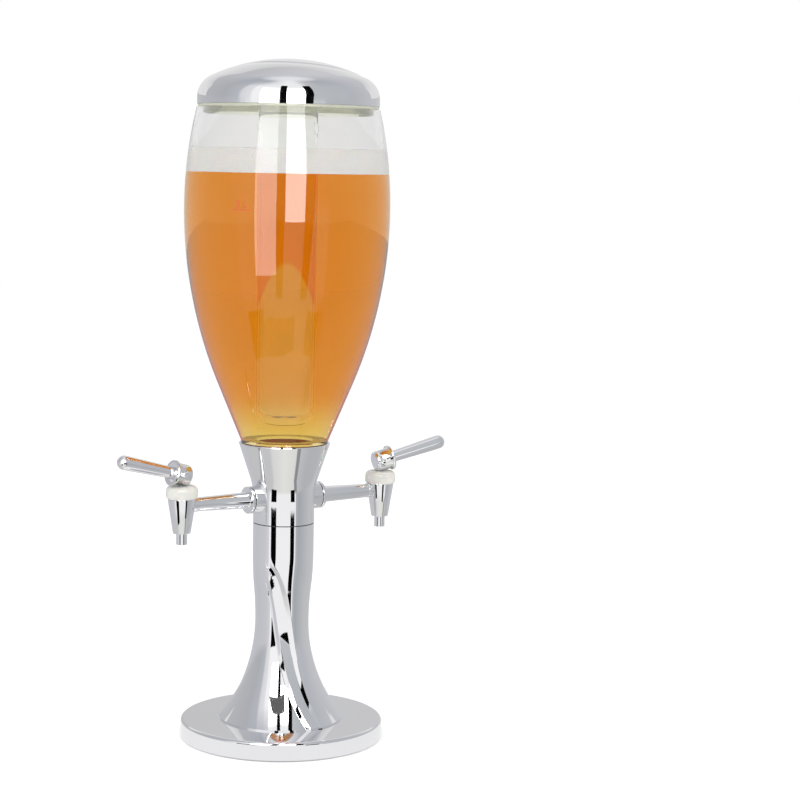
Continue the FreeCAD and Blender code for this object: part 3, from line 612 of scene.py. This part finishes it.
def bonnetMesh():
    outer = traced((bonnet["radius"], bonnet["top"] - bonnet["shoulder"]), 0, [(bonnet["shoulder"], -90)], 6)
    low = tap["shoulder"] + 0.02
    belly = [(bonnet["foot"] + (bonnet["radius"] - bonnet["foot"]) * math.sin(math.radians(k * 15)),
              low + bonnet["footCurve"] * (1 - math.cos(math.radians(k * 15)))) for k in range(7)]
    return spun([(bonnet["inner"], low)] + belly + outer
                + [(bonnet["hole"], bonnet["top"]), (bonnet["hole"], 13.5), (bonnet["inner"], 13.5)], 128)


def spoutMesh():
    return spun([(tap["spoutBore"], tap["spoutBottom"]), (tap["spout"], tap["spoutBottom"]),
                 (tap["spout"], tap["spoutTop"]), (tap["spoutBore"], tap["spoutTop"])], 64, True, 0.35, (0, 1))


def asLever(mesh, side):
    # Made along Z, laid out along X, tilted up at its pivot and swivelled with its stem
    swivel = Matrix.Rotation(math.radians(lever["turnRight"] if side > 0 else lever["turnLeft"]), 4, "Z")
    tilt = Matrix.Rotation(math.radians(side * (90 - lever["tilt"])), 4, "Y")
    centre = (side * tap["reach"] * mm, 0, (armAxis + lever["pivot"]) * mm)
    return placed(mesh, Matrix.Translation(centre) @ swivel @ tilt)


def leverRodMesh():
    start = lever["outer"] + lever["discThickness"]
    ball = start + lever["length"] - lever["tipRadius"]
    tip = traced((lever["tipRadius"], ball), 0, [(lever["tipRadius"], -90)], 5)
    return spun([(0, start - lever["studLength"] + 0.1), (lever["stud"], start - lever["studLength"] + 0.1),
                 (lever["stud"], start), (lever["rootRadius"], start),
                 (lever["tipRadius"], ball - lever["tipRadius"])] + tip[:-1] + [(0, ball + lever["tipRadius"])],
                96, False)


for side, word in ((1, "right"), (-1, "left")):
    finished("arm_tube_" + word, alongX(armMesh(), side, armAxis), chrome, "stand", ["arm_" + word])
    finished("tap_shell_" + word, atTap(bodyMesh(), side), chrome, "stand", ["tap_body_" + word])
    socket = spun([(4.6, 8.8), (tap["socket"], 8.8), (tap["socket"], tap["socketReach"]), (4.6, tap["socketReach"])],
                  96, True, 0.4, (2,))
    socket = placed(alongX(socket, -side, armAxis), Matrix.Translation((side * tap["reach"] * mm, 0, 0)))
    finished("tap_socket_" + word, socket, chrome, "stand")
    finished("spout_tube_" + word, atTap(spoutMesh(), side), chrome, "stand", ["tap_spout_" + word])
    finished("bonnet_cap_" + word, atTap(bonnetMesh(), side), acetal, "stand", ["tap_bonnet_" + word])
    finished("lever_handle_" + word, asLever(leverRodMesh(), side), chrome, "lever_" + word, ["lever_rod_" + word])
    smoothCopy("lever_knuckle_" + word, "lever_head_" + word, chrome, 25)
    smoothCopy("stem_rod_" + word, "valve_stem_" + word, chrome)
print("head, arms and taps made")


# Tank

tank = {"bottom": 258.3, "neck": 27.0, "neckLength": 18.3, "neckWall": 3.0, "foot": 36.9, "wall": 2.5, "floor": 3.0,
        "height": 284.7, "belly": 87.6, "bellyHeight": 199.7, "fullness": 0.79, "mouth": 77.6, "steps": 256}


def tankSide(step=0.8):
    swell = tank["belly"] - tank["foot"]
    rise = tank["bellyHeight"]
    lean = 2 * tank["fullness"] * math.atan(swell / rise)
    sagitta = 1 - math.cos(lean)
    lower = (rise * math.sin(lean) - swell * math.cos(lean)) / sagitta
    cone = (swell * math.sin(lean) - rise * sagitta) / sagitta
    across = tank["belly"] - tank["mouth"]
    along = tank["height"] - rise
    upper = (across ** 2 + along ** 2) / (2 * across)
    upperTurn = 2 * math.degrees(math.atan(across / along))
    return traced((tank["foot"], 0), math.degrees(lean), [(cone / 3,)] * 3 + [(lower, -math.degrees(lean)),
                                                          (upper, -upperTurn)], step)


def tankMesh():
    side = tankSide()
    inner = inset(side, tank["wall"])
    (lowRadius, low), (highRadius, high) = inner[:2]
    corner = lowRadius + (highRadius - lowRadius) * (tank["floor"] - low) / (high - low)
    innerNeck = tank["neck"] - tank["neckWall"]
    profile = [(innerNeck, -tank["neckLength"]), (tank["neck"], -tank["neckLength"]), (tank["neck"], 0)] + side
    profile += inner[:0:-1] + [(corner, tank["floor"]), (innerNeck, tank["floor"])]
    return placed(spun(profile, tank["steps"]), Matrix.Translation((0, 0, tank["bottom"] * mm)))


finished("tank_shell", tankMesh(), clear, "stand", ["tank"])


# Ice tube with the screw thread of its neck

tube = {"bottom": 281.0, "top": 552.0, "topRadius": 25.1, "bottomRadius": 23.8, "corner": 11.0, "neck": 26.1,
        "flangeBottom": 541.7, "thread": 0.2, "threadStart": 545.0, "pitch": 3.0, "turns": 1.8,
        "travel": 6.0}

smoothCopy("ice_container", "ice_tube", hazy)


def threadMesh():
    mesh = bmesh.new()
    radius = tube["neck"] - 0.05
    side = [(radius, -0.8), (radius + tube["thread"], -0.25), (radius + tube["thread"], 0.25), (radius, 0.8)]
    loop = [mesh.verts.new((x * mm, 0, (tube["threadStart"] + z) * mm)) for x, z in side]
    face = mesh.faces.new(loop)
    steps = int(96 * tube["turns"])
    rise = Vector((0, 0, tube["pitch"] * tube["turns"] * mm / steps))
    bmesh.ops.spin(mesh, geom=[face], cent=(0, 0, 0), axis=(0, 0, 1), dvec=rise, angle=math.tau * tube["turns"],
                   steps=steps)
    bmesh.ops.recalc_face_normals(mesh, faces=mesh.faces[:])
    return mesh


finished("ice_tube_thread", threadMesh(), hazy, "ice_tube")


# Beer, its foam and the capacity mark

def tubeSide(gap):
    # The outside of the ice tube, moved out by a gap and down by its travel, from its bottom centre up
    corner = tube["corner"] + gap
    across = tube["bottomRadius"] - tube["corner"]
    bottom = tube["bottom"] - tube["travel"] - gap
    side = [(0, bottom)]
    side += traced((across, bottom), 90, [(corner, -90)], 6)
    side.append((tube["topRadius"] + gap, tube["flangeBottom"]))
    return side


def tubeRadius(height, gap):
    low, high = tubeSide(gap)[-2:]
    return low[0] + (high[0] - low[0]) * (height - low[1]) / (high[1] - low[1])


def tankInside(low, high):
    # The inside of the tank between two heights, a little way into the wall
    side = [(x, z + tank["bottom"]) for x, z in inset(tankSide(), tank["wall"] - beer["overlap"])]
    return [p for p in side if low < p[1] < high]


def insideRadius(height):
    side = [(x, z + tank["bottom"]) for x, z in inset(tankSide(), tank["wall"] - beer["overlap"])]
    for (x0, z0), (x1, z1) in zip(side, side[1:]):
        if z0 <= height <= z1:
            return x0 + (x1 - x0) * (height - z0) / (z1 - z0)
    return side[-1][0]


def beerMesh():
    floor = tank["bottom"] + beer["floorGap"]
    neck = tank["neck"] - tank["neckWall"] + beer["overlap"]
    gap = beer["tubeGap"]
    profile = [(0, beer["bottom"]), (neck, beer["bottom"]), (neck, floor), (insideRadius(floor + 1), floor)]
    profile += tankInside(floor + 1, beer["top"] - 0.5)
    profile += [(insideRadius(beer["top"]), beer["top"]), (tubeRadius(beer["top"], gap), beer["top"])]
    profile += tubeSide(gap)[:-1][::-1]
    return spun(profile, tank["steps"], False)


def foamMesh():
    low = beer["top"] - 0.2
    high = beer["foamTop"]
    gap = beer["tubeGap"]
    profile = [(tubeRadius(low, gap), low), (insideRadius(low), low)] + tankInside(low + 0.2, high - 0.5)
    profile += [(insideRadius(high), high), (tubeRadius(high, gap), high)]
    mesh = spun(profile, tank["steps"])
    random.seed(7)
    top = [vert for vert in mesh.verts if vert.co.z > (high - 0.05) * mm]
    for vert in top:
        vert.co.z += random.uniform(-0.25, 0.25) * mm
    return mesh


beerBody = finished("beer", beerMesh(), lager, "stand")
beerBody.data.materials.append(lagerPaintedShade)
# Painted shade: faces in the neck, and floor faces on the camera's side of darkAhead, take the brown painted-shade
# beer
for face in beerBody.data.polygons:
    ahead = face.center.x * math.cos(towardCamera) + face.center.y * math.sin(towardCamera)
    onFloor = face.center.z < (tank["bottom"] + 2 * beer["floorGap"]) * mm
    if face.center.z < tank["bottom"] * mm or onFloor and ahead > beer["darkAhead"] * mm:
        face.material_index = 1
for piece in (beerBody, finished("beer_foam", foamMesh(), froth, "stand")):
    piece.visible_glossy = False  # the chrome shows the pale room, not the drink

mark = {"height": 460.5, "angle": -25.5, "size": 8.5, "line": 17.0, "lineThickness": 0.7, "lift": 0.12}


def markMesh():
    # A plain number over a line, bent round the tank
    words = bpy.data.curves.new("capacity", "FONT")
    words.body = "3 L"
    words.size = mark["size"] * mm
    words.align_x = "CENTER"
    holder = bpy.data.objects.new("capacity", words)
    bpy.context.scene.collection.objects.link(holder)
    bpy.context.view_layer.update()
    flat = bpy.data.meshes.new_from_object(holder.evaluated_get(bpy.context.evaluated_depsgraph_get()))
    bpy.data.objects.remove(holder)
    mesh = bmesh.new()
    mesh.from_mesh(flat)
    low = -2.2 * mm
    half = mark["line"] / 2 * mm
    line = [mesh.verts.new(v) for v in ((-half, low, 0), (half, low, 0), (half, low + mark["lineThickness"] * mm, 0),
                                        (-half, low + mark["lineThickness"] * mm, 0))]
    mesh.faces.new(line)
    bmesh.ops.remove_doubles(mesh, verts=mesh.verts[:], dist=1e-6)
    for k in range(-8, 9):
        bmesh.ops.bisect_plane(mesh, geom=mesh.verts[:] + mesh.edges[:] + mesh.faces[:], plane_co=(k * mm, 0, 0),
                               plane_no=(1, 0, 0), dist=1e-7)
    middle = towardCamera + math.radians(mark["angle"])
    for vert in mesh.verts:
        height = mark["height"] + vert.co.y / mm
        radius = insideRadius(height) + tank["wall"] - beer["overlap"] + mark["lift"]
        angle = middle + vert.co.x / (radius * mm)
        vert.co = Vector((radius * math.cos(angle), radius * math.sin(angle), height)) * mm
    bmesh.ops.solidify(mesh, geom=mesh.faces[:], thickness=0.1 * mm)
    bmesh.ops.recalc_face_normals(mesh, faces=mesh.faces[:])
    return mesh


finished("capacity_mark", markMesh(), ink, "stand")

bubbles = {"count": 260, "small": 0.35, "large": 0.75, "from": 28.0, "to": 74.0, "low": 440.0, "high": 486.0}


def bubbleMesh():
    # Small bubbles on the inside of the wall, thinning out downwards
    random.seed(11)
    mesh = bmesh.new()
    for _ in range(bubbles["count"]):
        height = bubbles["high"] - (bubbles["high"] - bubbles["low"]) * random.random() ** 1.4
        angle = towardCamera + math.radians(random.uniform(bubbles["from"], bubbles["to"]))
        size = random.uniform(bubbles["small"], bubbles["large"])
        radius = insideRadius(height) - size - 0.3
        place = Vector((radius * math.cos(angle), radius * math.sin(angle), height)) * mm
        bmesh.ops.create_icosphere(mesh, subdivisions=1, radius=size * mm, matrix=Matrix.Translation(place))
    return mesh


# Lid

lid = {"rim": 547.2, "radius": 77.2, "crown": 150.0, "shoulder": 20.0, "height": 37.3, "wall": 2.2, "steps": 400,
       "lip": 1.8, "lipWall": 0.85,
       "creaseCentre": (18.6, 15.8), "creaseRadius": 57.6, "creaseStep": 0.55, "creaseWidth": 1.6}


def lidSide():
    across = lid["radius"] - lid["shoulder"]
    reach = lid["crown"] - lid["shoulder"]
    crownTurn = math.degrees(math.asin(across / reach))
    straight = lid["height"] - lid["crown"] + math.sqrt(reach ** 2 - across ** 2)
    side = traced((lid["radius"], 0), 0, [(straight,)], 1)
    side += traced(side[-1], 0, [(lid["shoulder"], crownTurn - 90)], 3)[1:]
    side += traced(side[-1], crownTurn - 90, [(lid["crown"], -crownTurn)], 0.3)[1:]
    return side


def lidMesh():
    side = lidSide()
    side[-1] = (0, side[-1][1])
    inner = inset(side, lid["wall"])[::2]
    inner[-1] = (0, lid["height"] - lid["wall"])
    inner[0] = (inner[0][0], 0)
    lip = [(lid["radius"] - lid["lipWall"], 0), (lid["radius"] - lid["lipWall"], -lid["lip"]),
           (lid["radius"], -lid["lip"])]
    mesh = spun([(0, side[-1][1])] + side[:-1][::-1] + lip[::-1] + inner, lid["steps"], False)
    centre = Vector(lid["creaseCentre"])
    for vert in mesh.verts:
        # A shallow round step in the crown, deepest on the right and gone on the left
        flat = Vector((vert.co.x, vert.co.y)) / mm - centre
        outside = flat.length - lid["creaseRadius"]
        if vert.co.z > (lid["height"] - 18) * mm and abs(outside) < 12 and flat.length > 1:
            right = (flat.x * math.cos(towardCamera + math.pi / 2)
                     + flat.y * math.sin(towardCamera + math.pi / 2)) / flat.length
            depth = lid["creaseStep"] * stepUp(right, -0.98, -0.5)
            vert.co.z -= depth * mm * stepUp(outside, -lid["creaseWidth"] / 2, lid["creaseWidth"] / 2) * stepUp(
                -outside, -12, -3)
    return placed(mesh, Matrix.Translation((0, 0, lid["rim"] * mm)))


finished("lid_dome", lidMesh(), chrome, "lid", ["lid_shell"])
smoothCopy("lid_inner", "lid_liner", linerPlastic)
print("tank and lid made")


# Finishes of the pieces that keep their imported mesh

finishes = {
    "base_weight": iron, "base_plate": black, "foot_ring": rubber, "base_screws": zinc, "column_screws": zinc,
    "tie_rod": zinc, "tie_rod_washers": zinc, "tie_rod_nuts": zinc, "seam_ring": rubber, "beer_cup": ivory,
    "neck_gasket": silicone, "lid_gasket": silicone, "ice_tube_seal": silicone, "arm_seal": rubber,
    "arm_nut": zinc, "seat_cup": rubber, "valve_spring": wire, "pivot_pin": zinc,
}
for name, node in frame["nodes"].items():
    stem = name.replace("_left", "").replace("_right", "")
    if stem in finishes:
        node.data.materials.clear()
        node.data.materials.append(finishes[stem])


# Each valve spring is replaced by a merged, smoothed copy that has a mesh of its own
for word in ("right", "left"):
    low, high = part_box("valve_spring_" + word)
    coil = smoothCopy("spring_coil_" + word, "valve_spring_" + word, wire)
    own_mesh(coil)


# Floor, flags and light

def stageCard(name, corners, material):
    mesh = bmesh.new()
    mesh.faces.new([mesh.verts.new(corner) for corner in corners])
    data = bpy.data.meshes.new(name)
    mesh.to_mesh(data)
    mesh.free()
    data.materials.append(material)
    card = bpy.data.objects.new(name, data)
    bpy.context.scene.collection.objects.link(card)
    return card


def paleFloor():
    # Matt white studio board: it only takes the soft shadow
    material, tree = newTree("matt white studio board")
    shader = addNode(tree, "BsdfPrincipled", {"Base Color": blended(tree, mottle(tree, 300, 0, 1), "FCFCFC", "FAFAFA"),
                                              "Roughness": 0.9, "Specular IOR Level": 0.0})
    light = addNode(tree, "LightPath")
    lift = addNode(tree, "Math", {0: light.outputs["Is Camera Ray"], 1: 0.09}, operation="MULTIPLY")
    glow = addNode(tree, "Emission", {"Color": linear("FFFFFF"), "Strength": lift.outputs[0]})
    both = addNode(tree, "AddShader", {0: shader.outputs[0], 1: glow.outputs[0]})
    surfaceOf(tree, both.outputs[0])
    return material


def blackCard():
    # Black velvet flag: shows in the chrome as the dark lines
    material, tree = newTree("black velvet flag")
    shader = addNode(tree, "BsdfPrincipled", {"Base Color": blended(tree, mottle(tree, 20, 0, 1), "020202", "060606"),
                                              "Roughness": 1.0, "Specular IOR Level": 0.0})
    surfaceOf(tree, shader.outputs[0])
    return material


def softboxCloth(strength, high):
    # White diffuser cloth, bright in its lower half and fading to its top
    material, tree = newTree("white diffuser cloth")
    place = addNode(tree, "TexCoord")
    parts = addNode(tree, "SeparateXYZ", {"Vector": place.outputs["Object"]})
    fade = addNode(tree, "MapRange", {"Value": parts.outputs["Z"], "From Min": 0.70, "From Max": 1.0,
                                      "To Min": strength, "To Max": high})
    dim = addNode(tree, "MapRange", {"Value": parts.outputs["Z"], "From Min": 1.0, "From Max": 2.0,
                                     "To Min": 1.0, "To Max": 0.7})
    level = addNode(tree, "Math", {0: fade.outputs[0], 1: dim.outputs[0]}, operation="MULTIPLY")
    glow = addNode(tree, "Emission", {"Color": linear("FFFFFF"), "Strength": level.outputs[0]})
    surfaceOf(tree, glow.outputs[0])
    return material


floorBoard = stageCard("floor", [(-6, -6, 0), (6, -6, 0), (6, 6, 0), (-6, 6, 0)], paleFloor())
floorBoard.visible_glossy = False

# Panels round the object, seen only in the reflections: degrees to the right of the camera, height in
# millimetres, width in degrees
panelDistance = {"flag": 620.0, "softbox": 650.0, "backdrop": 2000.0, "board": 250.0}
panels = {
    "flag_low_left": [(-37, -115, 20), (-37, 104, 20)],
    "flag_low_right": [(33, -115, 15), (33, 98, 15)],
    "flag_high_left": [(-8, 140, 7), (-6.5, 620, 9), (-6.5, 1195, 9)],
    "flag_high_right": [(19, 140, 7), (24.7, 620, 10.5), (24.7, 1195, 10.5)],
    "softbox_left": [(-22.5, 222, 23), (-22.5, 1195, 23)],
    "softbox_right": [(8.7, 410, 21.5), (8.7, 1195, 21.5)],
    "backdrop": [(180, 640, 110), (180, 1480, 110)],
    "board_front": [(-12, 196, 44), (-6, 275, 30)],
}
panelCloth = {"flag": blackCard(), "softbox_left": softboxCloth(5.2, 1.0), "softbox_right": softboxCloth(10.5, 1.0),
              "backdrop": softboxCloth(0.8, 0.8), "board": softboxCloth(0.13, 0.13)}


def roomPlace(degrees, height, distance):
    angle = towardCamera + math.radians(degrees)
    return Vector((distance * math.cos(angle), distance * math.sin(angle), height)) * mm


def reflectedOnly(card):
    card.visible_camera = False
    card.visible_diffuse = False
    card.visible_shadow = False
    card.visible_transmission = False


# The floor close round the base does show in its side
nearFloor = [(0.17 * math.cos(k * math.tau / 48), 0.17 * math.sin(k * math.tau / 48), 0.0001) for k in range(48)]
reflectedOnly(stageCard("floor_near", nearFloor, softboxCloth(0.9, 0.9)))

for name, line in panels.items():
    distance = panelDistance[name.split("_")[0]]
    for index, (low, high) in enumerate(zip(line, line[1:])):
        corners = [roomPlace(low[0] - low[2] / 2, low[1], distance), roomPlace(low[0] + low[2] / 2, low[1], distance),
                   roomPlace(high[0] + high[2] / 2, high[1], distance), roomPlace(high[0] - high[2] / 2, high[1], distance)]
        cloth = panelCloth.get(name) or panelCloth[name.split("_")[0]]
        reflectedOnly(stageCard(name + str(index), corners, cloth))

world = bpy.data.worlds.new("studio")
bpy.context.scene.world = world
world.use_nodes = True
room = world.node_tree
room.nodes.clear()
direction = addNode(room, "TexCoord").outputs["Generated"]
turned = addNode(room, "VectorRotate", {"Vector": direction, "Angle": -towardCamera}, rotation_type="Z_AXIS")
parts = addNode(room, "SeparateXYZ", {"Vector": turned.outputs[0]})
azimuth = addNode(room, "Math", {0: parts.outputs["Y"], 1: parts.outputs["X"]}, operation="ARCTAN2")
share = addNode(room, "MapRange", {"Value": azimuth.outputs[0], "From Min": -math.pi, "From Max": math.pi})

# Grey of the room by direction, from straight down to straight up: the height (sine) over which each band
# gives way to the next, and its colours by degrees to the right of the camera
bands = [
    (None, [(-180, "C6C6C6"), (-90, "CACACA"), (-46, "CECECE"), (-38, "E0E0DE"), (0, "ECECE6"), (38, "E4E4DE"),
            (41, "909496"), (49, "909496"), (52, "C6C6C8"), (80, "B8BABC"), (120, "BCBCBE"), (180, "C6C6C6")]),
    ((-0.46, -0.38), [(-180, "CACCD0"), (-120, "C8C8CE"), (-75, "CECED3"), (-57, "DADADD"), (-55, "FBFBFB"),
                      (46, "FBFBFB"), (47, "B8BCBF"), (60, "ACB0B3"), (80, "B8BABD"), (110, "C4C6C8"),
                      (180, "CACCD0")]),
    ((-0.05, 0.05), [(-180, "CCCCCE"), (-172, "C6C6C8"), (-90, "B4B6BA"), (-67, "BCC0C5"), (-62, "DEDFE3"),
                     (-50, "EAEAEC"), (-46, "FFFFFF"), (20, "FFFFFF"), (30, "C2C6C8"), (60, "BDC1C4"),
                     (90, "BCBEC4"), (172, "D2D2D4"), (180, "CCCCCE")]),
    ((0.66, 0.92), [(-180, "D2D4D8"), (-90, "B2B5BC"), (-46, "B6B8BE"), (-28, "E4E4E8"), (-5, "FAFAFA"),
                    (12, "F6F6F6"), (34, "C6C8CC"), (60, "B4B6BB"), (90, "B6B8BE"), (180, "D2D4D8")]),
    ((0.94, 0.995), [(-180, "F0F0F2"), (180, "F0F0F2")]),
]


def bandRamp(stops):
    ramp = addNode(room, "ValToRGB", {"Fac": share.outputs[0]})
    elements = ramp.color_ramp.elements
    while len(elements) > 1:
        elements.remove(elements[-1])
    elements[0].position = 0
    for degrees, colour in stops:
        element = elements[0] if degrees == -180 else elements.new((degrees + 180) / 360)
        element.color = linear(colour)
    return ramp.outputs["Color"]


pattern = bandRamp(bands[0][1])
for (low, high), stops in bands[1:]:
    rising = addNode(room, "MapRange", {"Value": parts.outputs["Z"], "From Min": low, "From Max": high})
    pattern = blended(room, rising.outputs[0], pattern, bandRamp(stops))
light = addNode(room, "LightPath")
glossy = addNode(room, "Math", {0: light.outputs["Is Glossy Ray"],
                                1: light.outputs["Is Transmission Ray"]}, operation="SUBTRACT", use_clamp=True)
sky = addNode(room, "Background", {"Color": blended(room, glossy.outputs[0], "FFFFFF", pattern), "Strength": 1.0})
addNode(room, "OutputWorld", {"Surface": sky.outputs[0]})

lamp = bpy.data.lights.new("top light", "AREA")
lamp.shape = "DISK"
lamp.size = 1.2
lamp.energy = 12
lampObject = bpy.data.objects.new("top light", lamp)
bpy.context.scene.collection.objects.link(lampObject)
lampObject.location = (-0.6, -0.9, 2.2)
lampObject.rotation_euler = (Vector((0, 0, 0.2)) - Vector(lampObject.location)).to_track_quat("-Z", "Y").to_euler()
lampObject.visible_glossy = False
print("stage made")
